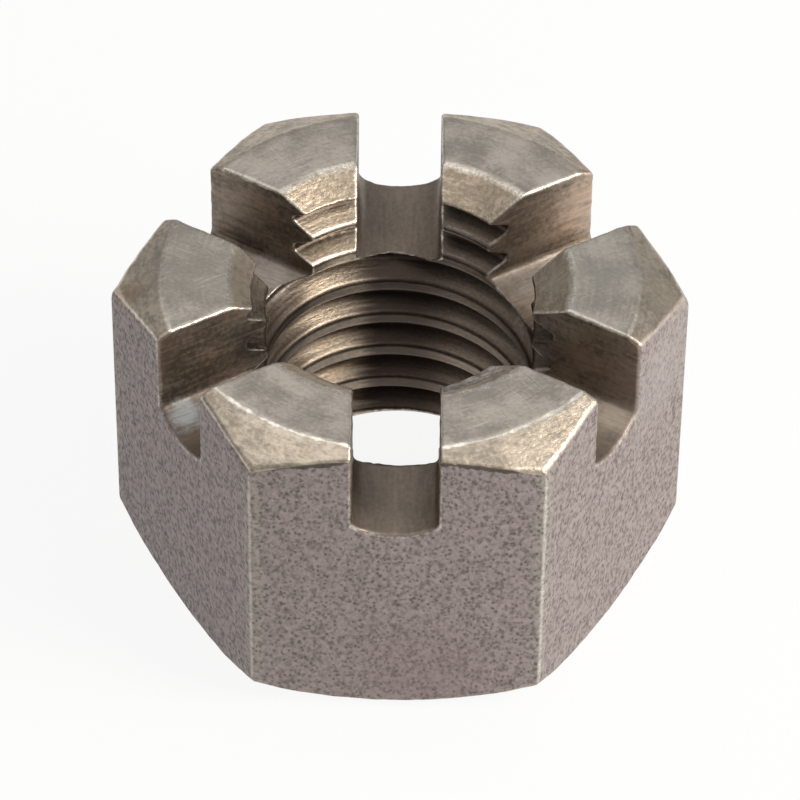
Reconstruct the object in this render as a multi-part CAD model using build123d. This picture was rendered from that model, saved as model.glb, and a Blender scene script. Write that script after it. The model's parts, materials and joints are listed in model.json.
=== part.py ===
from build123d import *
import os
from math import ceil, radians, sqrt, tan

# Castle nut, one piece of steel with a coarse right-hand thread.
# The origin is the centre of the bearing face, +Z runs up the thread axis,
# and one flat faces -Y. Lengths are in millimetres and angles in degrees.

# Hexagon
across_flats = 16.0
nut_height = 11.6
flat_count = 6
corner_radius = 0.25

# Conical chamfers, turned on both ends of the hexagon bar
top_chamfer_inset = 0.3
top_chamfer_angle = 26.0
bottom_chamfer_inset = 0.5
bottom_chamfer_angle = 31.5

# Threaded hole, whose crests lie where the tapping drill leaves them. The crest
# height is that of one crest above the bearing face, in the middle of the +Y side.
thread_diameter = 10.0
thread_pitch = 1.5
thread_angle = 60.0
thread_root_width = 0.16
thread_crest_height = 7.0

# The hole's two countersinks
top_countersink_angle = 120.0
top_countersink_margin = 0.5
bottom_countersink_angle = 90.0
bottom_countersink_margin = 0.4

# Slots for the split pin, one through each flat
slot_width = 2.7
slot_depth = 3.5
slot_floor_rise = 0.4

# How far a cutter runs past the metal, and how far the groove reaches into the hole
overrun = 1.0
groove_overlap = 0.2

# Worked out from the sizes above
flat_distance = across_flats / 2
corner_distance = across_flats / sqrt(3)
drill_radius = (thread_diameter - thread_pitch) / 2
slot_floor_height = nut_height - slot_depth


def hexagon_bar():
    """A length of hexagon bar with its corners slightly rounded."""
    section = RegularPolygon(flat_distance, flat_count, major_radius=False)
    bar = extrude(section, nut_height)
    return fillet(bar.edges().filter_by(Axis.Z), corner_radius)


def turned_envelope():
    """The body of revolution that gives the hexagon its two conical chamfers."""
    outer = corner_distance + overrun
    top = flat_distance - top_chamfer_inset
    bottom = flat_distance - bottom_chamfer_inset
    top_drop = (outer - top) * tan(radians(top_chamfer_angle))
    bottom_rise = (outer - bottom) * tan(radians(bottom_chamfer_angle))
    profile = Plane.XZ * Polygon(
        (0, 0),
        (bottom, 0),
        (outer, bottom_rise),
        (outer, nut_height - top_drop),
        (top, nut_height),
        (0, nut_height),
        align=None,
    )
    return revolve(profile, Axis.Z)


def bore_cutter():
    """The hole through the nut, opened by a countersink at each mouth."""
    top = thread_diameter / 2 + top_countersink_margin
    top_flare = tan(radians(top_countersink_angle / 2))
    top_depth = (top - drill_radius) / top_flare
    bottom = thread_diameter / 2 + bottom_countersink_margin
    bottom_flare = tan(radians(bottom_countersink_angle / 2))
    bottom_depth = (bottom - drill_radius) / bottom_flare
    profile = Plane.XZ * Polygon(
        (0, -overrun),
        (bottom + overrun * bottom_flare, -overrun),
        (drill_radius, bottom_depth),
        (drill_radius, nut_height - top_depth),
        (top + overrun * top_flare, nut_height + overrun),
        (0, nut_height + overrun),
        align=None,
    )
    return revolve(profile, Axis.Z)


def thread_groove():
    """The right-handed groove that the tap cuts between the crests, longer than the nut."""
    flare = tan(radians(thread_angle / 2))
    root_radius = thread_diameter / 2
    inner_radius = drill_radius - groove_overlap
    root = thread_root_width / 2
    inner = root + (root_radius - inner_radius) * flare
    # The helix starts on the +X side, where each groove lies 3/4 of a pitch below a crest at +Y.
    groove_height = thread_crest_height - 3 / 4 * thread_pitch
    start = groove_height - ceil((groove_height + overrun) / thread_pitch) * thread_pitch
    section = Plane.XZ * Polygon(
        (inner_radius, start - inner),
        (root_radius, start - root),
        (root_radius, start + root),
        (inner_radius, start + inner),
        align=None,
    )
    path = Helix(thread_pitch, nut_height + overrun - start, root_radius, center=(0, 0, start))
    return sweep(section, path, is_frenet=True)


def slot_cutter():
    """A bar with a rounded underside that mills two opposite slots in one pass."""
    side = slot_width / 2
    wall_foot = slot_floor_height + slot_floor_rise
    roof = nut_height + overrun
    outline = Polyline((side, wall_foot), (side, roof), (-side, roof), (-side, wall_foot))
    floor = ThreePointArc((-side, wall_foot), (0, slot_floor_height), (side, wall_foot))
    section = Plane.XZ * make_face([outline, floor])
    return extrude(section, flat_distance + overrun, both=True)


def castle_nut():
    """Hexagon, chamfers, threaded hole and one slot in the middle of each flat."""
    nut = hexagon_bar() & turned_envelope()
    # The groove comes before the hole, whose cutter then trims its inner edges to the crests.
    nut -= thread_groove()
    nut -= bore_cutter()
    for turn in range(flat_count // 2):
        nut -= Rot(0, 0, turn * 360 / flat_count) * slot_cutter()
    return nut


nut = castle_nut()
nut.label = "castle_nut"
os.makedirs("parts", exist_ok=True)
export_step(nut, "parts/castle_nut.step")
print("castle_nut", nut.is_valid, "volume", round(nut.volume, 3), "mm3")
print("height", round(nut.bounding_box().size.Z, 3), "faces", len(nut.faces()))
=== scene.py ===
import functools
import json
import math

import bpy
import numpy as np
from bpy.props import FloatProperty, FloatVectorProperty, IntProperty, PointerProperty
from mathutils import Matrix, Vector


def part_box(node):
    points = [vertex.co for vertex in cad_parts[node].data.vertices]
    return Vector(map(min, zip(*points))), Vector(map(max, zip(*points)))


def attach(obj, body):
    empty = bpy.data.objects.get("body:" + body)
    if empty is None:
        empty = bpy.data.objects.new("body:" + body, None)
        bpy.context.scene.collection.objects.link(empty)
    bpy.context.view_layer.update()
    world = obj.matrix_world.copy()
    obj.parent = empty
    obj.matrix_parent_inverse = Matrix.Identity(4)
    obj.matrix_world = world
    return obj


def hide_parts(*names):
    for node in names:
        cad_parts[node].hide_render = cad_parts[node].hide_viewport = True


# A castle nut cut from hexagon bar: conical ends, a coarse threaded hole and six slots.
# The frame is in metres. The nut's form and finish are worked out in millimetres.

bl_info = {
    "name": "Castle nut",
    "version": (1, 0, 0),
    "blender": (4, 5, 0),
    "location": "3D View > Sidebar > Castle nut",
    "description": "Builds a worn castle nut with its thread, its steel finish and a small studio",
    "category": "Object",
}

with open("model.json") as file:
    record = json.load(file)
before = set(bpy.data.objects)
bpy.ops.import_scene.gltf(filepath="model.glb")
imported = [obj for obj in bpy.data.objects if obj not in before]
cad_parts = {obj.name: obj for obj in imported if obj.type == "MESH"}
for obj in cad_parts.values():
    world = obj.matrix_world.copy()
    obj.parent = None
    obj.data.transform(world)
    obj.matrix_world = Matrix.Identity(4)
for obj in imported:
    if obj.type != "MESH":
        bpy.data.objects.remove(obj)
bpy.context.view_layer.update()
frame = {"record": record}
NODE = "castle_nut"
NODE_LOW, NODE_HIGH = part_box(NODE)
THREAD_MOUNT = next(m for m in frame["record"]["mounts"] if m["name"] == "thread")

MM = 1000.0

# Level directions in degrees from +X, along the slots and square to the flats.
SLOT_BEARINGS = (90.0, 150.0, 30.0)
FLAT_BEARINGS = (90.0, 30.0, -30.0)

# How far the end face and the thread's crests lie under the plain solid's, in millimetres.
FACE_SETBACK = 0.04
CREST_SETBACK = 0.03

# The thread's flanks, and the share of a turn from +X to the back, where a crest's height is given.
FLANK_ANGLE = math.radians(30.0)
BACK_TURN = 0.25

# Depths in millimetres under the upper countersink's foot, between which each side of a crest sags.
UPPER_SAG = (2.5, 0.6)
LOWER_SAG = (0.9, 0.1)

# How far in from the hexagon's vertices their further rounding starts, in millimetres.
VERTEX_REACH = 0.7

# Unevenness of edges: the noise's cell in millimetres, its seed and its strength.
EDGE_NOISE = ((0.4, 11, 1.0), (0.17, 12, 0.6))
LIP_NOISE = (0.3, 5)

MARGIN_CELLS = 2.5  # free cells of the grid round the nut
MIDDLE_PULL = 0.02  # how strongly a point is held to the middle of its cell's crossings
JUST_OUTSIDE = 1e-4  # distance in millimetres given to a cleared corner of the grid
WEAK_SLOPE = 0.2  # smallest squared slope that a step onto the surface is worked out from
EDGE_TURN = math.radians(4.0)  # turn from vertex to vertex that tells a rounded edge

# Lamps: name, power setting, place in millimetres, size in millimetres and colour.
LAMPS = (
    ("key_lamp", "key", (165, -55, 135), (120, 120), (1.0, 0.95, 0.88)),
    ("top_lamp", "top", (-40, 40, 250), (220, 160), (1.0, 0.98, 0.95)),
)
LAMP_AIM = (0, 0, 6)

# Width of the floor and reach of the camera's sight, in metres.
FLOOR_WIDTH = 6.0
SIGHT = (0.01, 20.0)

# Stains and dirty patches, among them painted highlights, shade and reflections: place and reach in
# millimetres, colour and strength.
STAINS_AND_PAINTED_LIGHT = (
    # Painted reflection: a bluish-white glint on the front left slot's floor.
    ((-6.7, -3.0, 8.2), 0.8, (0.62, 0.68, 0.70), 0.75),
    ((-6.2, -3.9, 8.1), 0.6, (0.30, 0.22, 0.16), 0.5),
    ((6.8, -2.8, 8.2), 0.95, (0.54, 0.44, 0.33), 0.75),
    # Painted light on the outer top of the back right slot's wall, and painted shadow on the same wall
    # next to the hole.
    ((6.1, 5.1, 10.1), 2.0, (0.70, 0.53, 0.41), 0.75),
    ((3.5, 3.6, 10.1), 1.6, (0.11, 0.08, 0.06), 0.6),
    # Painted shade: near-black on the thread inside the left and right teeth, near the front.
    ((-4.6, -0.8, 9.7), 1.7, (0.06, 0.045, 0.035), 1.0),
    ((4.6, -0.8, 9.8), 1.5, (0.07, 0.052, 0.04), 0.9),
    ((-8.5, -0.4, 11.1), 0.75, (0.42, 0.29, 0.18), 0.6),
    # Painted light on the right tooth's cone.
    ((8.2, -0.3, 11.2), 1.1, (0.72, 0.62, 0.47), 0.6),
    ((-4.3, 3.4, 8.2), 1.1, (0.52, 0.46, 0.43), 0.65),
    ((-6.6, 0.3, 11.6), 2.4, (0.41, 0.38, 0.33), 0.8),
    ((6.7, 0.4, 11.6), 2.2, (0.44, 0.42, 0.37), 0.55),
    ((2.7, 4.3, 11.2), 1.0, (0.28, 0.22, 0.165), 0.6),
    ((5.1, 0.2, 11.2), 0.9, (0.56, 0.48, 0.38), 0.6),
    # Painted reflection of the lit wall on the back right slot's floor.
    ((5.0, 2.6, 8.2), 1.9, (0.54, 0.50, 0.44), 0.75),
    ((-5.3, 4.6, 10.0), 1.6, (0.42, 0.33, 0.26), 0.5),
    # Painted highlight on the thread of the back left tooth.
    ((-2.2, 4.1, 8.5), 0.9, (0.80, 0.66, 0.50), 0.9),
    ((8.4, -1.4, 9.0), 3.2, (0.44, 0.40, 0.385), 0.5),
    ((0.8, -8.0, 1.8), 3.5, (0.25, 0.19, 0.17), 0.4),
)


def length(name, description, default_mm, **more):
    """A size property, given here in millimetres and kept in metres."""
    return FloatProperty(
        name=name, description=description, default=default_mm / MM, unit="LENGTH", precision=6, **more
    )


def angle(name, description, default_degrees):
    """An angle property, given here in degrees and kept in radians."""
    return FloatProperty(
        name=name, description=description, default=math.radians(default_degrees), subtype="ANGLE"
    )


def number(name, description, default, **more):
    """A plain number property."""
    return FloatProperty(name=name, description=description, default=default, **more)


def colour(name, description, default):
    """A colour property of three linear values."""
    return FloatVectorProperty(
        name=name, description=description, default=default, subtype="COLOR", min=0.0, max=1.0
    )


class NutSizes(bpy.types.PropertyGroup):
    """Nominal sizes of the nut."""

    across_flats: length(
        "Across flats", "Distance between opposite flats", (NODE_HIGH.y - NODE_LOW.y) * MM
    )
    height: length("Height", "Height of the end faces", NODE_HIGH.z * MM - FACE_SETBACK)
    corner_blend: length("Corner blend", "Blend along the hexagon's upright corners", 0.125)
    top_circle: length("Top circle", "Radius where the upper cone meets the end face", 7.62)
    top_slope: angle("Top chamfer", "Angle of the upper cone below the end face", 25.0)
    bottom_circle: length("Bottom circle", "Radius where the lower cone meets the bearing face", 7.5)
    bottom_slope: angle("Bottom chamfer", "Angle of the lower cone above the bearing face", 31.5)
    pitch: length("Pitch", "Rise of the thread in one turn", 1.5)
    root_radius: length("Root radius", "Radius of the thread's roots", 5.0)
    crest_radius: length(
        "Crest radius", "Radius of the thread's crests", THREAD_MOUNT["dims"]["r_mm"] + CREST_SETBACK
    )
    crest_width: length("Crest width", "Width of the flat along each crest", 0.48)
    crest_height: length("Crest height", "Height of one crest's middle at the back of the hole", 7.0)
    top_mouth: length("Top mouth", "Radius of the upper countersink's rim", 5.5)
    top_mouth_slope: angle("Upper countersink", "Its angle below the end face", 30.0)
    bottom_mouth: length("Bottom mouth", "Radius of the lower countersink's rim", 5.4)
    bottom_mouth_slope: angle("Lower countersink", "Its angle above the bearing face", 45.0)
    slot_width: length("Slot width", "Width of each slot", 2.7)
    slot_depth: length("Slot depth", "Depth of each slot at the middle of its floor", 3.5)
    slot_rise: length("Slot rise", "How much higher a slot's floor is at its walls", 0.4)
    slot_offset: length("Slot offset", "How far the front and back slots lie off the axis", -0.07)


class NutWear(bpy.types.PropertyGroup):
    """Edges, burrs and damage."""

    edge_blend: length("Edge blend", "Rounding of the machined edges", 0.065)
    edge_uneven: length("Uneven edge", "How much the rounding of the edges varies", 0.035)
    rim_blend: length("Rim blend", "Rounding where the cones meet the hexagon", 0.16)
    vertex_blend: length("Vertex blend", "Further rounding at the hexagon's worn vertices", 0.2)
    slot_edge: length("Slot edge", "Rounding of the teeth where the slots cut them", 0.15)
    thread_blend: length("Thread blend", "Rounding of the thread's crests and roots", 0.1)
    slot_corner: length("Slot corner", "Rounding where a slot's floor meets its walls", 0.13)
    worn_corner: length("Worn corner", "The same rounding on the worn side of the front slot", 0.3)
    crest_drop: length("Crest drop", "How far the thread sags near the upper countersink", 0.3)
    lip_radius: length("Lip radius", "Radius at which the front slot's floor is broken off", 4.93)
    lip_slope: angle("Lip slope", "Angle at which the broken end goes down into the hole", 48.4)
    lip_uneven: length("Uneven lip", "Roughness of the broken end", 0.05)
    grid: length("Grid", "Cell size of the grid that the surface is meshed on", 0.07)
    triangles: IntProperty(
        name="Triangles", description="Most triangles in the finished mesh", default=185000, min=1000
    )


class NutFinish(bpy.types.PropertyGroup):
    """Colours of the nut's surfaces, and of the highlights and shade painted on them."""

    scale_colour: colour("Scale", "Mauve-grey scale on the flats", (0.318, 0.264, 0.248))
    pit_colour: colour("Pits", "Dark specks in the scale", (0.10, 0.08, 0.077))
    rubbed_colour: colour("Rubbed scale", "Beige scale beside the upright corners", (0.37, 0.34, 0.29))
    face_colour: colour("End face", "Turned end faces", (0.54, 0.49, 0.43))
    chamfer_colour: colour("Chamfer", "Turned cones", (0.56, 0.48, 0.385))
    bore_colour: colour("Bore", "Countersinks and thread flanks", (0.44, 0.36, 0.275))
    # Also the colour of painted shade on the thread's unlit side and in the gap under the front burr.
    grime_and_shade_colour: colour("Grime", "Dirt in the hole and the thread's roots", (0.06, 0.044, 0.038))
    wall_colour: colour("Slot walls", "Milled walls of the slots", (0.235, 0.188, 0.146))
    floor_colour: colour("Slot floors", "Milled floors of the slots", (0.275, 0.225, 0.185))
    stain_colour: colour("Stain", "Reddish stain on the slot walls", (0.26, 0.175, 0.12))
    # Also the colour of the painted highlights along edges and crests, brightened further on the burr.
    edge_colour: colour("Edges", "Bare metal along worn edges", (0.78, 0.73, 0.65))
    edge_width: length("Edge width", "How far bare metal reaches from an edge", 0.125)
    edge_ragged: length("Ragged edge", "How much that reach varies", 0.2)


class Studio(bpy.types.PropertyGroup):
    """Camera, lamps and floor."""

    azimuth: angle("Azimuth", "Bearing of the camera round the nut", 0.0418)
    elevation: angle("Elevation", "Height of the camera above the horizon", 45.456)
    roll: angle("Roll", "Turn of the camera about its line of sight", 0.6739)
    distance: length("Distance", "Distance of the camera from the point it looks at", 182.32)
    aim_right: length("Aim right", "Point looked at, to the right of the origin", 0.0852)
    aim_up: length("Aim up", "Point looked at, up from the origin in the picture", 4.2001)
    lens: number("Lens", "Focal length in millimetres", 247.04, unit="CAMERA")
    key: number("Key", "Power of the lamp on the right in watts", 0.42)
    top: number("Top", "Power of the overhead lamp in watts", 0.09)
    fill: number("Fill", "Strength of the sky on rough surfaces", 0.35)
    room: number("Room", "Brightness of the ceiling in the metal", 0.54)
    wall: number("Wall", "Brightness of the walls in the metal", 0.2)
    floor_shadow: number("Floor shadow", "Share of the floor's look that real light gives", 0.1)


def value_noise(points, cell, seed):
    """Smooth noise from -1 to 1 over points of shape (..., 3), with lattice cells of the given size."""
    count = 32
    table = np.random.default_rng(seed).uniform(-1, 1, (count,) * 3).astype(np.float32)
    scaled = points / cell
    low = np.floor(scaled).astype(np.int32)
    t = scaled - low
    t = t * t * (3 - 2 * t)
    low %= count
    high = (low + 1) % count
    total = 0
    for corner in range(8):
        pick = [(corner >> axis) & 1 for axis in range(3)]
        index = [(high if pick[axis] else low)[..., axis] for axis in range(3)]
        weight = 1
        for axis in range(3):
            weight = weight * (t[..., axis] if pick[axis] else 1 - t[..., axis])
        total = total + weight * table[index[0], index[1], index[2]]
    return total


def meet(a, b, blend):
    """Distance to the overlap of two forms, with the edge where they meet rounded."""
    plain = np.minimum(np.maximum(a, b), -blend)
    return plain + np.hypot(np.maximum(a + blend, 0), np.maximum(b + blend, 0))


def join(a, b, blend):
    """Distance to two forms taken together, with the corner where they meet filled."""
    return -meet(-a, -b, blend)


def rise(values, start, end):
    """Smooth change from 0 to 1 while the values go from start to end."""
    t = np.clip((values - start) / (end - start), 0, 1)
    return t * t * (3 - 2 * t)


def across(points, bearing):
    """Distance along a level direction of the given bearing in degrees."""
    turn = math.radians(bearing)
    return points[..., 0] * math.cos(turn) + points[..., 1] * math.sin(turn)


def in_millimetres(group):
    """A group's lengths in millimetres and the rise of its slopes, by name."""
    values = {}
    for name in group.__annotations__:
        value = getattr(group, name)
        values[name] = math.tan(value) if name.endswith("slope") else value * MM
    return values


def mouth_foot(sizes):
    """Height at which the upper countersink meets the thread's crests."""
    return sizes["height"] - (sizes["top_mouth"] - sizes["crest_radius"]) * sizes["top_mouth_slope"]


class NutForm:
    """The nut as a distance in millimetres: below zero in the steel, above zero outside."""

    def __init__(self, sizes, wear):
        self.sizes = in_millimetres(sizes)
        self.wear = in_millimetres(wear)

    def cone(self, beyond, depth, slope):
        """Distance to a cone that sinks under an end face as it goes beyond a circle of it."""
        return (beyond * slope - depth) / math.hypot(1, slope)

    def outside(self, points, radius, height, blend):
        """Hexagon bar with both ends turned to a cone."""
        s = self.sizes
        flat = s["across_flats"] / 2
        sides = [np.abs(across(points, bearing)) - flat for bearing in FLAT_BEARINGS]
        bar = meet(meet(sides[0], sides[1], s["corner_blend"]), sides[2], s["corner_blend"])
        vertex = s["across_flats"] / math.sqrt(3)
        depth = s["height"] - height
        top = meet(-depth, self.cone(radius - s["top_circle"], depth, s["top_slope"]), blend)
        bottom = meet(-height, self.cone(radius - s["bottom_circle"], height, s["bottom_slope"]), blend)
        rim = blend + self.wear["rim_blend"] - self.wear["edge_blend"]
        rim = rim + self.wear["vertex_blend"] * rise(radius, vertex - VERTEX_REACH, vertex)
        return meet(meet(bar, top, rim), bottom, rim)

    def slots(self, points, height):
        """Six slots, cut in three passes right across the nut."""
        s = self.sizes
        half = s["slot_width"] / 2
        arc = (half ** 2 + s["slot_rise"] ** 2) / (2 * s["slot_rise"])
        lowest = s["height"] - s["slot_depth"]
        nearest = None
        for index, bearing in enumerate(SLOT_BEARINGS):
            side = across(points, bearing + 90)
            corner = self.wear["slot_corner"]
            if index == 0:
                side = side + s["slot_offset"]
                corner = np.where(side > 0, self.wear["worn_corner"], corner)
            # The floor is an arc of a circle, run on level where the circle has ended.
            floor = lowest + arc - np.sqrt(np.maximum(arc ** 2 - side ** 2, arc ** 2 / 4))
            gap = meet(np.abs(side) - half, floor - height, corner)
            nearest = gap if nearest is None else np.minimum(nearest, gap)
        return nearest

    def broken_lip(self, points, radius, height):
        """Break at the inner end of the front slot's floor, where a thread crest has come away."""
        s = self.sizes
        slope = self.wear["lip_slope"]
        side = np.abs(across(points, SLOT_BEARINGS[0] + 90) + s["slot_offset"])
        foot = s["height"] - s["slot_depth"] + (radius - self.wear["lip_radius"]) * slope
        above = (foot - height) / math.hypot(1, slope)
        above = above + self.wear["lip_uneven"] * value_noise(points, *LIP_NOISE)
        behind = points[..., 1] + s["crest_radius"] / 2
        return np.maximum(meet(side - s["slot_width"] / 2, above, self.wear["slot_corner"]), behind)

    def from_crest(self, height):
        """Height above the middle of the nearest crest, below zero under it."""
        phase = (height - self.sizes["crest_height"]) / self.sizes["pitch"]
        return (phase - np.round(phase)) * self.sizes["pitch"]

    def sag(self, height):
        """How far the crests near the upper countersink lie too low, and by how much they are thinner."""
        drop = self.wear["crest_drop"]
        mouth = mouth_foot(self.sizes)
        upper = drop * rise(height, mouth - UPPER_SAG[0], mouth - UPPER_SAG[1])
        lower = drop * rise(height, mouth - LOWER_SAG[0], mouth - LOWER_SAG[1])
        return (upper + lower) / 2, (upper - lower) / 2

    def hole(self, points, radius, height, blend):
        """Right-hand thread between two countersinks, as the steel around it."""
        s = self.sizes
        turn = np.arctan2(points[..., 1], points[..., 0]) / (2 * math.pi)
        climb = (turn - BACK_TURN) * s["pitch"]
        sunk, thinner = self.sag(height)
        along = np.abs(self.from_crest(height - climb + sunk)) + thinner
        flank = along - s["crest_width"] / 2 - (radius - s["crest_radius"]) * math.tan(FLANK_ANGLE)
        ridge = meet(s["crest_radius"] - radius, flank * math.cos(FLANK_ANGLE), self.wear["thread_blend"])
        wall = join(ridge, s["root_radius"] - radius, self.wear["thread_blend"])
        upper = self.cone(s["top_mouth"] - radius, s["height"] - height, s["top_mouth_slope"])
        lower = self.cone(s["bottom_mouth"] - radius, height, s["bottom_mouth_slope"])
        return meet(meet(wall, upper, blend), lower, blend)

    def distance(self, points):
        """Distance to the nut's surface at each point."""
        height = points[..., 2]
        radius = np.hypot(points[..., 0], points[..., 1])
        rough = sum(strength * value_noise(points, cell, seed) for cell, seed, strength in EDGE_NOISE)
        uneven = self.wear["edge_uneven"] * rough
        blend = self.wear["edge_blend"] + uneven
        slot_blend = self.wear["slot_edge"] + uneven
        steel = self.outside(points, radius, height, blend)
        steel = meet(steel, -self.slots(points, height), slot_blend)
        steel = meet(steel, self.hole(points, radius, height, blend), blend)
        return meet(steel, -self.broken_lip(points, radius, height), blend)

    def slope(self, points, step=0.004):
        """Direction in which the distance grows, from samples at a tetrahedron's corners."""
        total = np.zeros(points.shape, np.float64)
        for corner in ((1, -1, -1), (-1, -1, 1), (-1, 1, -1), (1, 1, 1)):
            way = np.array(corner, float)
            total += way * self.distance(points + way * step)[..., None]
        return total / (4 * step)

    def normals(self, points):
        """Unit directions that point out of the steel."""
        slope = self.slope(points)
        return slope / np.linalg.norm(slope, axis=-1, keepdims=True)

    def settle(self, points, rounds):
        """Points moved onto the surface."""
        for _ in range(rounds):
            slope = self.slope(points)
            steep = np.maximum((slope ** 2).sum(-1, keepdims=True), WEAK_SLOPE)
            points = points - self.distance(points)[..., None] * slope / steep
        return points


def sample(form, low, counts, cell):
    """The form's distance at every corner of a grid, worked out in slabs."""
    axes = [low[i] + cell * np.arange(counts[i]) for i in range(3)]
    values = np.empty(counts, np.float32)
    slab = 24
    for start in range(0, counts[2], slab):
        heights = axes[2][start:start + slab]
        points = np.stack(np.meshgrid(axes[0], axes[1], heights, indexing="ij"), -1)
        values[:, :, start:start + slab] = form.distance(points.astype(np.float32))
    return values


def part_touching(values):
    """Clears corners of the grid where two bodies of steel touch along a line, and says how many."""
    cleared = 0
    for first, second in ((0, 1), (0, 2), (1, 2)):
        grid = np.moveaxis(values, (first, second), (0, 1))
        inside = grid < 0
        near, far = inside[:-1, :-1], inside[1:, 1:]
        left, right = inside[1:, :-1], inside[:-1, 1:]
        for i, j, k in np.argwhere((near == far) & (left == right) & (near != left)):
            steel = ((i, j, k), (i + 1, j + 1, k))
            if left[i, j, k]:
                steel = ((i + 1, j, k), (i, j + 1, k))
            grid[max(steel, key=lambda corner: grid[corner])] = JUST_OUTSIDE
            cleared += 1
    return cleared


def crossings(values, low, cell):
    """Where the surface cuts the grid's edges, and the four cells round each such edge in order."""
    inside = values < 0
    places, rings = [], []
    for axis in range(3):
        steps = np.eye(3, dtype=int)
        before = np.take(inside, range(inside.shape[axis] - 1), axis)
        after = np.take(inside, range(1, inside.shape[axis]), axis)
        start = np.argwhere(before != after)
        first = values[tuple(start.T)]
        second = values[tuple((start + steps[axis]).T)]
        share = (first / (first - second))[:, None]
        places.append(low + cell * (start + steps[axis] * share))
        u, v = steps[(axis + 1) % 3], steps[(axis + 2) % 3]
        ring = np.stack([start - u - v, start - v, start, start - u], 1)
        ring[first > 0] = ring[first > 0][:, ::-1]
        rings.append(ring)
    return np.concatenate(places), np.concatenate(rings)


def best_points(owner, places, normals, count, cell):
    """One point per cell, as near as it can be to all the planes that cross the cell's edges."""
    spread = np.repeat(np.arange(len(places)), 4)

    def gather(weights):
        return np.bincount(owner, weights[spread], count)

    amount = gather(np.ones(len(places)))[:, None]
    centre = np.stack([gather(places[:, i]) for i in range(3)], 1) / amount
    matrix = np.empty((count, 3, 3))
    for i in range(3):
        for j in range(3):
            matrix[:, i, j] = gather(normals[:, i] * normals[:, j])
    reach = (normals * places).sum(1)
    target = np.stack([gather(normals[:, i] * reach) for i in range(3)], 1)
    target -= np.einsum("nij,nj->ni", matrix, centre)
    matrix += MIDDLE_PULL * amount[:, :, None] * np.eye(3)
    shift = np.linalg.solve(matrix, target[..., None])[..., 0]
    size = np.linalg.norm(shift, axis=1, keepdims=True)
    return centre + shift * np.minimum(1, 0.9 * cell / np.maximum(size, 1e-9))


def skin(form, low, high, cell):
    """Vertices and four-sided faces of the form's surface."""
    counts = tuple(int(n) for n in np.ceil((high - low) / cell) + 1)
    values = sample(form, low, counts, cell)
    while part_touching(values):
        pass
    places, rings = crossings(values, low, cell)
    order = np.zeros(counts, np.int32)
    order[tuple(rings.reshape(-1, 3).T)] = 1
    filled = np.flatnonzero(order)
    order.flat[filled] = np.arange(len(filled))
    faces = order[tuple(rings.transpose(2, 0, 1))]
    points = best_points(faces.reshape(-1), places, form.normals(places), len(filled), cell)
    return form.settle(points, 2), faces


def mesh_from(name, points, faces):
    """A mesh object in metres from points in millimetres."""
    mesh = bpy.data.meshes.new(name)
    sides = faces.shape[1]
    mesh.vertices.add(len(points))
    mesh.vertices.foreach_set("co", (points / MM).astype(np.float32).ravel())
    mesh.loops.add(faces.size)
    mesh.loops.foreach_set("vertex_index", faces.astype(np.int32).ravel())
    mesh.polygons.add(len(faces))
    mesh.polygons.foreach_set("loop_start", np.arange(0, faces.size, sides, dtype=np.int32))
    mesh.update(calc_edges=True)
    nut = bpy.data.objects.new(name, mesh)
    bpy.context.scene.collection.objects.link(nut)
    return nut


def mesh_points(mesh):
    """A mesh's vertices in millimetres."""
    points = np.empty(len(mesh.vertices) * 3, np.float32)
    mesh.vertices.foreach_get("co", points)
    return points.reshape(-1, 3).astype(np.float64) * MM


def curved_band(mesh, normals):
    """True for the vertices on the rounded edges and the ring of vertices next to them."""
    ends = np.empty(len(mesh.edges) * 2, np.int32)
    mesh.edges.foreach_get("vertices", ends)
    ends = ends.reshape(-1, 2)
    turn = (normals[ends[:, 0]] * normals[ends[:, 1]]).sum(1)
    band = np.zeros(len(normals), bool)
    band[ends[turn < math.cos(EDGE_TURN)]] = True
    band[ends[band[ends].any(1)]] = True
    return band


def collapse(nut, ratio, group=""):
    """Leaves the nut a share of its triangles, the rest taken from the named vertex group or all over."""
    fewer = nut.modifiers.new("fewer", "DECIMATE")
    fewer.ratio = min(1.0, ratio)
    fewer.use_collapse_triangulate = True
    fewer.vertex_group = group
    state = bpy.context.evaluated_depsgraph_get()
    mesh = bpy.data.meshes.new_from_object(nut.evaluated_get(state))
    nut.modifiers.clear()
    plain = nut.data
    nut.data = mesh
    bpy.data.meshes.remove(plain)


def thin_out(nut, normals, most):
    """Fewer triangles, first on the plain surfaces and then, if they are still too many, all over."""
    free = nut.vertex_groups.new(name="plain_surface")
    free.add(np.flatnonzero(~curved_band(nut.data, normals)).tolist(), 1.0, "REPLACE")
    collapse(nut, most / (2 * len(nut.data.polygons)), free.name)
    nut.vertex_groups.clear()
    collapse(nut, most / len(nut.data.polygons))


def build_nut(sizes, wear):
    """The threaded nut as one closed mesh."""
    form = NutForm(sizes, wear)
    cell = form.wear["grid"] * 1.0
    margin = MARGIN_CELLS * cell
    low = np.array(NODE_LOW) * MM - margin
    high = np.array(NODE_HIGH) * MM + margin
    points, faces = skin(form, low, high, cell)
    nut = mesh_from("threaded_nut", points, faces)
    thin_out(nut, form.normals(points), wear.triangles)
    mesh = nut.data
    settled = form.settle(mesh_points(mesh), 1)
    mesh.vertices.foreach_set("co", (settled / MM).astype(np.float32).ravel())
    mesh.update()
    mesh.polygons.foreach_set("use_smooth", np.ones(len(mesh.polygons), bool))
    mesh.normals_split_custom_set_from_vertices(form.normals(settled).tolist())
    return nut


class Wire:
    """One value in a node tree, which plain arithmetic turns into Math nodes."""

    def __init__(self, net, socket):
        self.net = net
        self.socket = socket

    def __add__(self, other):
        return self.net.math("ADD", self, other)

    def __sub__(self, other):
        return self.net.math("SUBTRACT", self, other)

    def __rsub__(self, other):
        return self.net.math("SUBTRACT", other, self)

    def __mul__(self, other):
        return self.net.math("MULTIPLY", self, other)

    def __truediv__(self, other):
        return self.net.math("DIVIDE", self, other)

    __radd__ = __add__
    __rmul__ = __mul__


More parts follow.
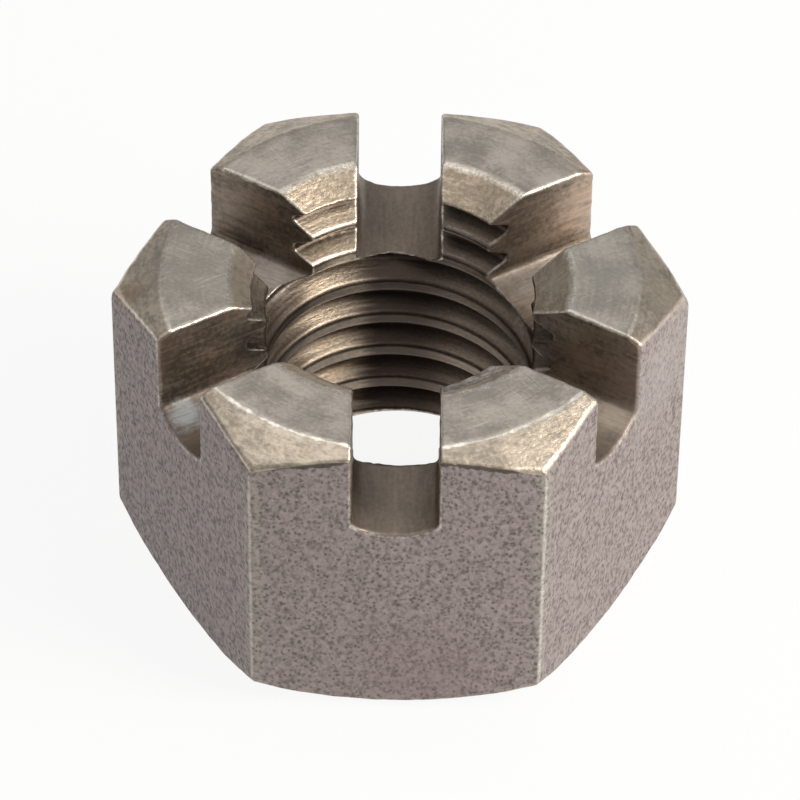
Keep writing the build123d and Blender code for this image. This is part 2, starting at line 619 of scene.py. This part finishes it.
class Net:
    """Builds shader nodes in one tree."""

    def __init__(self, tree):
        self.tree = tree
        tree.nodes.clear()

    def node(self, kind, inputs=None, **settings):
        """A node with its settings and its inputs, each a wire or a plain value."""
        made = self.tree.nodes.new(kind)
        for name, value in settings.items():
            setattr(made, name, value)
        for name, value in (inputs or {}).items():
            if isinstance(value, Wire):
                self.tree.links.new(value.socket, made.inputs[name])
            else:
                made.inputs[name].default_value = value
        return made

    def math(self, operation, *values):
        """The result of one arithmetic step."""
        made = self.node("ShaderNodeMath", dict(enumerate(values)), operation=operation)
        return Wire(self, made.outputs[0])

    def least(self, a, b):
        """The smaller of two values, which is the gap to whichever of two surfaces is nearer."""
        return self.math("MINIMUM", a, b)

    def most(self, a, b):
        """The larger of two values."""
        return self.math("MAXIMUM", a, b)

    def size(self, value):
        """A value without its sign."""
        return self.math("ABSOLUTE", value)

    def hypot(self, a, b):
        """Length of the longest side of a right triangle."""
        return self.math("SQRT", a * a + b * b)

    def ramp(self, value, start, end, low=0.0, high=1.0):
        """Smooth change from low to high while the value goes from start to end."""
        made = self.node(
            "ShaderNodeMapRange",
            {"Value": value, "From Min": start, "From Max": end, "To Min": low, "To Max": high},
            interpolation_type="SMOOTHSTEP",
        )
        return Wire(self, made.outputs["Result"])

    def vector(self, x, y, z):
        """Three values as one vector."""
        made = self.node("ShaderNodeCombineXYZ", {"X": x, "Y": y, "Z": z})
        return Wire(self, made.outputs[0])

    def parts(self, vector):
        """The three values in a vector."""
        made = self.node("ShaderNodeSeparateXYZ", {0: vector})
        return [Wire(self, made.outputs[i]) for i in range(3)]

    def noise(self, vector, scale, detail=2.0, roughness=0.5, distortion=0.0):
        """Fractal noise from 0 to 1, with about one feature in 1 / scale millimetres."""
        made = self.node(
            "ShaderNodeTexNoise",
            {
                "Vector": vector,
                "Scale": scale,
                "Detail": detail,
                "Roughness": roughness,
                "Distortion": distortion,
            },
        )
        return Wire(self, made.outputs["Fac"])

    def drawn(self, x, y, z, detail=2.0, roughness=0.5, distortion=0.0):
        """Noise that is drawn out or packed by the three values it is given as a place."""
        return self.noise(self.vector(x, y, z), 1.0, detail, roughness, distortion)

    def dots(self, vector, scale):
        """Distance from the nearest of many scattered points, in units of 1 / scale millimetres."""
        made = self.node("ShaderNodeTexVoronoi", {"Vector": vector, "Scale": scale})
        return Wire(self, made.outputs["Distance"])

    def away(self, vector, place):
        """Distance from a fixed place."""
        made = self.node("ShaderNodeVectorMath", {0: vector, 1: place}, operation="DISTANCE")
        return Wire(self, made.outputs["Value"])

    def mix(self, share, a, b):
        """Plain number between a and b."""
        made = self.node("ShaderNodeMix", {"Factor": share, "A": a, "B": b})
        return Wire(self, made.outputs["Result"])

    def scaled(self, colour, amount):
        """A darker or lighter shade of a colour wire."""
        made = self.node("ShaderNodeVectorMath", {0: colour, "Scale": amount}, operation="SCALE")
        return Wire(self, made.outputs[0])

    def blend(self, share, a, b):
        """Colour between a and b, each a wire or three numbers."""
        made = self.node("ShaderNodeMix", data_type="RGBA")
        for index, value in ((0, share), (6, a), (7, b)):
            if isinstance(value, Wire):
                self.tree.links.new(value.socket, made.inputs[index])
            else:
                made.inputs[index].default_value = value if index == 0 else (*value, 1.0)
        return Wire(self, made.outputs[2])

    def show(self, output, shader):
        """Leads a shader node to an output node of the given kind."""
        made = self.node(output)
        self.tree.links.new(shader.outputs[0], made.inputs["Surface"])


class NutPlaces:
    """Where a shaded point lies on the nut, as wires in millimetres.

    A gap is the point's depth under one surface of the nut: zero on it and more than zero in the steel.
    """

    def __init__(self, net, sizes, wear):
        s = in_millimetres(sizes)
        self.net = net
        coordinates = net.node("ShaderNodeTexCoord")
        scaled = net.node("ShaderNodeVectorMath", {1: (MM, MM, MM)}, operation="MULTIPLY")
        net.tree.links.new(coordinates.outputs["Object"], scaled.inputs[0])
        self.point = Wire(net, scaled.outputs[0])
        self.x, self.y, self.z = net.parts(self.point)
        self.radius = net.hypot(self.x, self.y)
        self.bearing = net.math("ARCTAN2", self.y, self.x)
        self.depth = s["height"] - self.z
        flat = s["across_flats"] / 2
        self.flats = [flat - net.size(self.level(bearing)) for bearing in FLAT_BEARINGS]
        a, b, c = self.flats
        self.corner_gap = net.most(net.least(a, b), net.least(net.most(a, b), c))
        self.flat_gap = net.least(net.least(a, b), c)
        self.ends = [self.depth, self.z]
        self.cones = [
            self.under_cone(self.radius - s["top_circle"], self.depth, s["top_slope"]),
            self.under_cone(self.radius - s["bottom_circle"], self.z, s["bottom_slope"]),
        ]
        self.mouths = [
            self.under_cone(s["top_mouth"] - self.radius, self.depth, s["top_mouth_slope"]),
            self.under_cone(s["bottom_mouth"] - self.radius, self.z, s["bottom_mouth_slope"]),
        ]
        self.follow_thread(s, in_millimetres(wear)["crest_drop"])
        self.follow_slots(s)

    def level(self, bearing):
        """Distance along a level direction of the given bearing in degrees."""
        turn = math.radians(bearing)
        return self.x * math.cos(turn) + self.y * math.sin(turn)

    def under_cone(self, beyond, depth, slope):
        """Distance into the steel from a cone that sinks under an end face beyond a circle of it."""
        return (depth - beyond * slope) / math.hypot(1, slope)

    def grain(self, scale):
        """Grain of the metal from 0 to 1, with about one speck in 1 / scale millimetres."""
        return self.net.noise(self.point, scale, 2.0, 0.6)

    def follow_thread(self, s, drop):
        """Place along and across the thread, its gap, and where the key lamp lights it, so that it is left
        without painted shade.
        """
        net = self.net
        mouth = mouth_foot(s)
        upper = net.ramp(self.z, mouth - UPPER_SAG[0], mouth - UPPER_SAG[1], 0.0, drop)
        lower = net.ramp(self.z, mouth - LOWER_SAG[0], mouth - LOWER_SAG[1], 0.0, drop)
        sunk = (upper + lower) / 2
        turns = (self.z + sunk - s["crest_height"]) / s["pitch"] - self.bearing / (2 * math.pi) + BACK_TURN
        self.thread_height = turns * s["pitch"]
        from_crest = net.size((turns - net.math("ROUND", turns)) * s["pitch"])
        half_crest = s["crest_width"] / 2 - (upper - lower) / 2
        self.crest_edge = net.size(from_crest - half_crest)
        in_ridge = self.radius - s["crest_radius"]
        flank = half_crest + in_ridge * math.tan(FLANK_ANGLE) - from_crest
        ridge = net.least(in_ridge, flank * math.cos(FLANK_ANGLE))
        self.thread_gap = net.most(ridge, self.radius - s["root_radius"])
        self.root_depth = in_ridge / (s["root_radius"] - s["crest_radius"])
        # Left without painted shade, as the key lamp lights them, are the back left of the hole, by its
        # bearing in radians, and the left teeth.
        lit_bearings = net.ramp(self.bearing, 1.66, 2.14) * net.ramp(self.bearing, 2.45, 2.1, 0.3, 1.0)
        teeth = net.ramp(self.z, 8.2, 8.7) * net.ramp(self.x, 0.5, -0.5)
        self.clean = net.most(lit_bearings, teeth * net.ramp(self.y, 0.5, 2.5, 0.6, 1.0))

    def follow_slots(self, s):
        """Distances from the walls and the floor of the nearest slot, and the place along it."""
        net = self.net
        half = s["slot_width"] / 2
        sides = [self.level(bearing + 90) for bearing in SLOT_BEARINGS]
        sides[0] = sides[0] + s["slot_offset"]
        runs = [self.level(bearing) for bearing in SLOT_BEARINGS]
        nearest, run = net.size(sides[0]), runs[0]
        for side, other in zip(sides[1:], runs[1:]):
            away = net.size(side)
            closer = net.math("LESS_THAN", away, nearest)
            run = net.mix(closer, run, other)
            nearest = net.least(nearest, away)
        self.slot_side = nearest
        self.slot_run = run
        self.wall_gap = nearest - half
        floor = nearest * nearest * (s["slot_rise"] / half ** 2) + (s["height"] - s["slot_depth"])
        self.slot_gap = net.most(self.wall_gap, floor - self.z)


class Look:
    """Colour, roughness, metal share and height of one finish."""

    def __init__(self, colour, roughness, metal, height):
        self.values = (colour, roughness, metal, height)

    def under(self, net, other, share):
        """This look with another laid over it where the share is one."""
        colour = net.blend(share, self.values[0], other.values[0])
        rest = [net.mix(share, a, b) for a, b in zip(self.values[1:], other.values[1:])]
        return Look(colour, *rest)


def shades(net, share, base, dark, light):
    """A colour that goes from a darker to a lighter shade of the base."""
    return net.blend(share, [c * dark for c in base], [min(1.0, c * light) for c in base])


def bar_scale(net, at, finish):
    """Dull mauve-grey scale with soft dark pits, rubbed to beige beside the upright corners."""
    tall = net.vector(at.x, at.y, at.z * 0.8)
    mottle = net.noise(tall, 3.2, 2.0, 0.6)
    grain = net.noise(tall, 7.5, 1.5, 0.6)
    rubbed = net.ramp(at.corner_gap + (mottle - 0.5) * 0.5, 0.5, 0.15)
    specks = net.ramp(net.dots(tall, 6.4) + (mottle - 0.5) * 0.5 + (grain - 0.5) * 0.7, 0.55, 0.05)
    pits = net.most(specks * 0.85, net.ramp(net.noise(tall, 5.6, 1.5, 0.5), 0.44, 0.8) * 0.8)
    colour = net.blend(rubbed * 0.45, finish.scale_colour, finish.rubbed_colour)
    tone = net.ramp(grain * 0.6 + mottle * 0.4, 0.3, 0.7)
    colour = net.blend(tone, net.scaled(colour, 0.84), net.scaled(colour, 1.24))
    colour = net.blend(pits * 0.85, colour, finish.pit_colour)
    # Darker on the left and lighter on the right, towards the key lamp: painted shade and light.
    colour = net.scaled(colour, net.ramp(at.x, -9.0, 9.0, 0.86, 1.06))
    return Look(colour, net.mix(pits, 0.5, 0.7), 0.45, grain * 0.008 - pits * 0.012)


def turned_face(net, at, finish):
    """Grey end face with faint arcs and scratches."""
    arcs = net.drawn(at.radius * 9.0, at.bearing * 3.0, 0.0, 3.0, 0.6)
    falling = net.drawn(at.x * 0.6 + at.y * 0.3, at.y * 11.0 - at.x * 6.0, 0.0)
    rising = net.drawn(at.x * 0.5 - at.y * 0.3, at.y * 7.0 + at.x * 9.0, 3.0)
    scratches = net.ramp(net.most(falling, rising), 0.62, 0.75)
    cloud = net.noise(at.point, 0.7, 3.0)
    grain = at.grain(7.0)
    share = net.ramp(cloud + (arcs - 0.5) * 0.3 + (grain - 0.5) * 0.4, 0.3, 0.7)
    colour = shades(net, share, finish.face_colour, 0.74, 1.23)
    colour = net.blend(scratches * 0.2, colour, finish.edge_colour)
    height = arcs * 0.004 + scratches * 0.004 + grain * 0.008
    return Look(colour, net.mix(cloud, 0.34, 0.46), 1.0, height)


def turned_cone(net, at, finish):
    """Tan chamfer with short streaks and a fine grain left by the turning tool."""
    streaks = net.drawn(at.radius * 6.0, at.bearing * 11.0, at.z * 3.0, 3.0, 0.6, 0.6)
    crossed = net.drawn(at.x * 6.0 + at.y * 5.0, at.y * 1.5 - at.x, at.z)
    grain = at.grain(6.5)
    cloud = net.noise(at.point, 1.1, 2.0)
    share = net.ramp(streaks * 0.3 + crossed * 0.15 + grain * 0.3 + cloud * 0.25, 0.38, 0.62)
    colour = shades(net, share, finish.chamfer_colour, 0.68, 1.26)
    return Look(colour, 0.38, 1.0, streaks * 0.006 + grain * 0.012)


def countersink(net, at, finish):
    """Tan countersink with a coarse sparkling grain."""
    grain = at.grain(5.5)
    streaks = net.drawn(at.radius * 8.0, at.bearing * 7.0, at.z * 5.0)
    # Lighter on the left, which faces the key lamp across the hole, and darker on the right: painted light
    # and shade.
    share = net.ramp(grain * 0.7 + streaks * 0.3 - at.x * 0.014, 0.36, 0.64)
    colour = shades(net, share, finish.bore_colour, 0.78, 1.22)
    return Look(colour, 0.38, 1.0, grain * 0.018 + streaks * 0.006)


def tapped_thread(net, at, finish):
    """Thread with a fine grain drawn out along it, darker towards its roots, with painted shade on all but
    its lit side and on its lower crest flats.
    """
    grain = net.drawn(at.thread_height * 12.0, at.bearing * 36.0, at.radius * 9.0, 2.0, 0.6)
    streaks = net.drawn(at.thread_height * 9.0, at.bearing * 2.0, at.radius * 8.0)
    share = net.ramp(grain * 0.5 + streaks * 0.5, 0.34, 0.66)
    colour = shades(net, share, finish.bore_colour, 0.72, 1.22)
    # Lighter towards the lower end of the hole.
    colour = net.scaled(colour, net.ramp(at.z, 6.5, 3.5, 1.0, 1.5))
    # Painted shade on all but the lit back left of the hole and the lit left teeth, and on the crest flats
    # lower down; darker towards the roots as well.
    shaded_side = net.ramp(at.clean + (streaks - 0.5) * 0.5, 0.95, 0.05)
    shaded_side = shaded_side * net.ramp(at.bearing, 1.45, 1.05, 0.95, 0.7)
    shaded_crest = net.ramp(at.root_depth, 0.16, 0.08) * net.ramp(at.z, 8.4, 8.0, 0.0, 0.55)
    grime_and_shade = net.most(net.most(shaded_side, shaded_crest), net.ramp(at.root_depth, 0.55, 1.0, 0.0, 0.85))
    colour = net.blend(grime_and_shade, colour, finish.grime_and_shade_colour)
    return Look(colour, net.mix(grime_and_shade, 0.36, 0.44), 1.0, grain * 0.009 + streaks * 0.004)


def milled_slot(net, at, finish):
    """Brown slot walls streaked along the cutter's way, and a greyer floor."""
    streaks = net.drawn(at.slot_run * 0.9, at.z * 6.0, at.slot_side * 7.0, 3.0, 0.6)
    cloud = net.noise(at.point, 0.9, 3.0, 0.6)
    grain = at.grain(6.5)
    # Lighter towards the right, where the key lamp stands: painted light.
    share = net.ramp(streaks * 0.4 + cloud * 0.25 + grain * 0.35 + at.x * 0.006, 0.36, 0.64)
    wall = shades(net, share, finish.wall_colour, 0.5, 1.48)
    stain = net.ramp(net.noise(at.point, 0.55, 2.0, 0.5), 0.5, 0.62)
    wall = net.blend(stain * 0.35, wall, finish.stain_colour)
    floor = shades(net, share, finish.floor_colour, 0.82, 1.18)
    colour = net.blend(net.ramp(at.wall_gap, 0.0, -0.12), wall, floor)
    return Look(colour, net.mix(cloud, 0.38, 0.52), 0.7, streaks * 0.008 + grain * 0.008)


def worn_edge_and_highlight(net, at, finish):
    """Bare metal where an edge is rubbed or burred, light enough to paint the edge's highlight as well."""
    grain = at.grain(11.0)
    colour = shades(net, net.ramp(grain, 0.35, 0.65), finish.edge_colour, 0.75, 1.15)
    return Look(colour, 0.32, 1.0, grain * 0.015)


def burr_shadow_line(net, at, uneven):
    """One along the painted shadow in the gap under the burr that the front chamfers end in."""
    ragged = at.grain(1.6)
    width = net.ramp(ragged + at.slot_side * -0.05, 0.25, 0.55, 0.02, 0.085)
    gap = net.ramp(net.size(at.cones[0] - 0.05 + uneven * 0.1) - width, 0.02, -0.02)
    return gap * net.math("LESS_THAN", at.flats[0], 0.06) * net.math("LESS_THAN", at.y, 0.0)


def burr_highlight(finish):
    """Painted highlight on a sharp burr, brighter than the bare edges."""
    return Look(tuple(min(1.0, 1.25 * part) for part in finish.edge_colour), 0.3, 1.0, 0.0)


def burr_shade(finish):
    """Painted shadow in a gap under a burr."""
    return Look(finish.grime_and_shade_colour, 0.8, 0.2, 0.0)


def stains_and_painted_light(net, at, colour, uneven):
    """A colour with the stains and dirty patches over it, among them painted highlights, shade and
    reflections, streaked along the slots.
    """
    streaks = net.drawn(at.slot_run, at.z * 6.0, at.slot_side * 11.0)
    streaks = net.ramp(streaks + uneven * 0.3, 0.3, 0.6, 0.45, 1.0)
    for place, reach, tint, strength in STAINS_AND_PAINTED_LIGHT:
        share = net.ramp(net.away(at.point, place) + uneven * reach * 1.4, reach, reach * 0.2)
        colour = net.blend(share * streaks * strength, colour, tint)
    return colour


def surface_finish(net, at, finish):
    """The finish of the nearest surface, and a point's depth under the second nearest."""
    # Each finish with the gaps of its surfaces, and how far its edges are spared from wear.
    surfaces = (
        (bar_scale, at.flats, 0.07),
        (turned_cone, at.cones, 0.11),
        (turned_face, at.ends, 0.0),
        (countersink, at.mouths, 0.03),
        (tapped_thread, [at.thread_gap], 0.06),
        (milled_slot, [at.slot_gap], 0.0),
    )
    look = nearest = first = second = None
    for make, gaps, spared in surfaces:
        laid = make(net, at, finish)
        closest = functools.reduce(net.least, gaps)
        look = laid if look is None else look.under(net, laid, net.ramp(nearest - closest, -0.02, 0.02))
        nearest = closest if nearest is None else net.least(nearest, closest)
        for gap in gaps:
            reach = gap + spared
            if first is None:
                first, second = reach, 1.0
            else:
                second = net.least(second, net.most(first, reach))
                first = net.least(first, reach)
    return look, second


def bare_metal_and_highlight(net, at, finish, uneven, second):
    """How far machined edges, upright corners, thread crests and the side flats' rims are rubbed bare,
    with their highlights painted in the same light colour.
    """
    edge = net.ramp(second + uneven * finish.edge_ragged * MM, finish.edge_width * MM, 0.02)
    # The upright corners' painted highlight is stronger towards the right, where the key lamp stands.
    corner = net.ramp(at.corner_gap + uneven * 0.08, 0.1, 0.03) * net.ramp(at.x, -3.0, 3.0, 0.5, 0.9)
    # Painted highlights along the crests' edges, only on the back teeth.
    crest = net.ramp(at.crest_edge + uneven * 0.12, 0.07, 0.01)
    crest = crest * net.math("LESS_THAN", at.thread_gap, 0.03)
    crest = crest * net.ramp(at.z, 8.2, 9.3, 0.05, 0.35) * net.ramp(at.y, 0.5, 2.0)
    rim = net.ramp(net.most(at.flat_gap, at.cones[0]) + uneven * 0.15, 0.11, 0.02)
    rim = rim * net.ramp(net.size(at.x), 4.7, 5.6, 0.0, 0.6)
    return net.most(net.most(net.most(edge, corner), crest) * 0.8, rim)


def burr_highlight_line(net, at, uneven):
    """One along the fine burr between the end face and the cone, where its highlight is painted, strongest
    at the front.
    """
    line = net.ramp(net.most(at.depth, at.cones[0]) + uneven * 0.05, 0.044, 0.016)
    return line * net.ramp(at.y + uneven * 6.0, 0.5, -4.0, 0.08, 1.0)


def steel_material(sizes, wear, finish):
    """The nut's steel: a finish for each kind of surface, with bare edges, burrs and patches over it,
    among them painted highlights and shade.
    """
    material = bpy.data.materials.new("nut_steel")
    material.use_nodes = True
    net = Net(material.node_tree)
    at = NutPlaces(net, sizes, wear)
    uneven = net.noise(at.point, 3.5, 3.0, 0.7) - 0.5
    look, second = surface_finish(net, at, finish)
    look = look.under(net, worn_edge_and_highlight(net, at, finish), bare_metal_and_highlight(net, at, finish, uneven, second))
    # Painted highlight along the burr at the end face's rim, brightest at the front.
    look = look.under(net, burr_highlight(finish), burr_highlight_line(net, at, uneven))
    # Painted shadow in the gap under the front burr.
    look = look.under(net, burr_shade(finish), burr_shadow_line(net, at, uneven) * 0.85)
    colour, roughness, metal, height = look.values
    bump = net.node("ShaderNodeBump", {"Height": height, "Distance": 1 / MM, "Strength": 1.0})
    shader = net.node(
        "ShaderNodeBsdfPrincipled",
        {"Base Color": stains_and_painted_light(net, at, colour, uneven), "Roughness": roughness, "Metallic": metal},
    )
    net.tree.links.new(bump.outputs[0], shader.inputs["Normal"])
    net.show("ShaderNodeOutputMaterial", shader)
    return material


def seen_directly(net):
    """One for camera, glossy and transmission rays, and zero for the rest."""
    path = net.node("ShaderNodeLightPath")
    kinds = ("Is Camera Ray", "Is Glossy Ray", "Is Transmission Ray")
    return functools.reduce(net.most, [Wire(net, path.outputs[kind]) for kind in kinds])


def white_world(fill, wall, room):
    """A white backdrop with a dimmer room above it in the metal, and a dim sky on rough surfaces."""
    world = bpy.data.worlds.new("studio_sky")
    world.use_nodes = True
    net = Net(world.node_tree)
    way = net.node("ShaderNodeTexCoord")
    side, back, up = net.parts(Wire(net, way.outputs["Generated"]))
    # Upward from the white ground come the walls and then the ceiling.
    shown = net.ramp(up, 0.1, 0.3, 1.0, wall) + net.ramp(up, 0.45, 0.75, 0.0, room - wall)
    # The wall behind the nut is brighter than the others.
    shown = net.mix(net.ramp(back, 0.72, 0.9), shown, (wall + room) * 0.6)
    shown = net.most(shown, Wire(net, net.node("ShaderNodeLightPath").outputs["Is Camera Ray"]))
    strength = net.mix(seen_directly(net), (side * 0.55 + 1.0) * fill, shown)
    sky = net.node("ShaderNodeBackground", {"Strength": strength})
    sky.inputs["Color"].default_value = (1, 1, 1, 1)
    net.show("ShaderNodeOutputWorld", sky)
    bpy.context.scene.world = world


def floor_material(shadow_share):
    """White floor that shows a soft shadow."""
    material = bpy.data.materials.new("white_floor")
    material.use_nodes = True
    net = Net(material.node_tree)
    glow = net.node("ShaderNodeEmission", {"Color": (1, 1, 1, 1), "Strength": 1.0})
    paint = net.node("ShaderNodeBsdfDiffuse", {"Color": (0.95, 0.95, 0.95, 1)})
    blend = net.node("ShaderNodeMixShader", {"Fac": seen_directly(net) * (1 - shadow_share)})
    net.tree.links.new(paint.outputs[0], blend.inputs[1])
    net.tree.links.new(glow.outputs[0], blend.inputs[2])
    net.show("ShaderNodeOutputMaterial", blend)
    return material


def lay_floor(shadow_share):
    """A large flat floor under the nut."""
    half = FLOOR_WIDTH / 2
    mesh = bpy.data.meshes.new("studio_floor")
    corners = [(-half, -half, 0), (half, -half, 0), (half, half, 0), (-half, half, 0)]
    mesh.from_pydata(corners, [], [(0, 1, 2, 3)])
    floor = bpy.data.objects.new("studio_floor", mesh)
    floor.data.materials.append(floor_material(shadow_share))
    bpy.context.scene.collection.objects.link(floor)


def hang_lamp(name, power, place_mm, size_mm, tint):
    """A soft rectangular lamp, aimed at the nut, that the camera doesn't see."""
    data = bpy.data.lights.new(name, "AREA")
    data.shape = "RECTANGLE"
    data.size, data.size_y = (side / MM for side in size_mm)
    data.energy = power
    data.color = tint
    lamp = bpy.data.objects.new(name, data)
    place, aim = Vector(place_mm) / MM, Vector(LAMP_AIM) / MM
    lamp.location = place
    lamp.rotation_mode = "QUATERNION"
    lamp.rotation_quaternion = (aim - place).to_track_quat("-Z", "Y")
    lamp.visible_camera = False
    bpy.context.scene.collection.objects.link(lamp)


def set_camera(studio):
    """The camera, aimed by its bearing, height, roll and the point it looks at."""
    level = math.cos(studio.elevation)
    back = Vector(
        (math.sin(studio.azimuth) * level, -math.cos(studio.azimuth) * level, math.sin(studio.elevation))
    )
    right = (-back).cross(Vector((0, 0, 1))).normalized()
    up = right.cross(-back)
    turn = Matrix.Rotation(studio.roll, 3, back)
    right, up = turn @ right, turn @ up
    data = bpy.data.cameras.new("studio_camera")
    data.lens = studio.lens
    data.clip_start, data.clip_end = SIGHT
    camera = bpy.data.objects.new("studio_camera", data)
    place = right * studio.aim_right + up * studio.aim_up + back * studio.distance
    camera.matrix_world = Matrix.Translation(place) @ Matrix((right, up, back)).transposed().to_4x4()
    bpy.context.scene.collection.objects.link(camera)
    bpy.context.scene.camera = camera


class CASTLENUT_OT_body(bpy.types.Operator):
    """Build the threaded nut in place of the plain solid"""

    bl_idname = "castlenut.body"
    bl_label = "Build the nut"

    def execute(self, context):
        scene = context.scene
        nut = build_nut(scene.nut_sizes, scene.nut_wear)
        nut.data.materials.append(steel_material(scene.nut_sizes, scene.nut_wear, scene.nut_finish))
        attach(nut, "root")
        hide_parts(NODE)
        return {"FINISHED"}


class CASTLENUT_OT_stage(bpy.types.Operator):
    """Lay the floor, hang the lamps and set the camera"""

    bl_idname = "castlenut.stage"
    bl_label = "Set the stage"

    def execute(self, context):
        studio = context.scene.nut_studio
        white_world(studio.fill, studio.wall, studio.room)
        lay_floor(studio.floor_shadow)
        for name, power, place, size, tint in LAMPS:
            hang_lamp(name, getattr(studio, power), place, size, tint)
        set_camera(studio)
        context.scene.view_settings.view_transform = "Standard"
        return {"FINISHED"}


class CASTLENUT_PT_panel(bpy.types.Panel):
    """Sizes, finish and steps of the castle nut"""

    bl_label = "Castle nut"
    bl_idname = "CASTLENUT_PT_panel"
    bl_space_type = "VIEW_3D"
    bl_region_type = "UI"
    bl_category = "Castle nut"

    def draw(self, context):
        for step in STEPS:
            self.layout.operator(step.bl_idname)
        for name in SETTINGS:
            group = getattr(context.scene, name)
            box = self.layout.box()
            for field in group.__annotations__:
                box.prop(group, field)


STEPS = (CASTLENUT_OT_body, CASTLENUT_OT_stage)
SETTINGS = {"nut_sizes": NutSizes, "nut_wear": NutWear, "nut_finish": NutFinish, "nut_studio": Studio}
CLASSES = (*SETTINGS.values(), *STEPS, CASTLENUT_PT_panel)


def register():
    """Adds the nut's settings, steps and panel to Blender."""
    for item in CLASSES:
        bpy.utils.register_class(item)
    for name, group in SETTINGS.items():
        setattr(bpy.types.Scene, name, PointerProperty(type=group))


def unregister():
    """Takes the settings, steps and panel out of Blender."""
    for name in SETTINGS:
        delattr(bpy.types.Scene, name)
    for item in reversed(CLASSES):
        bpy.utils.unregister_class(item)


def main():
    """Builds the nut and its stage."""
    register()
    bpy.ops.castlenut.body()
    bpy.ops.castlenut.stage()


if __name__ == "__main__":
    main()
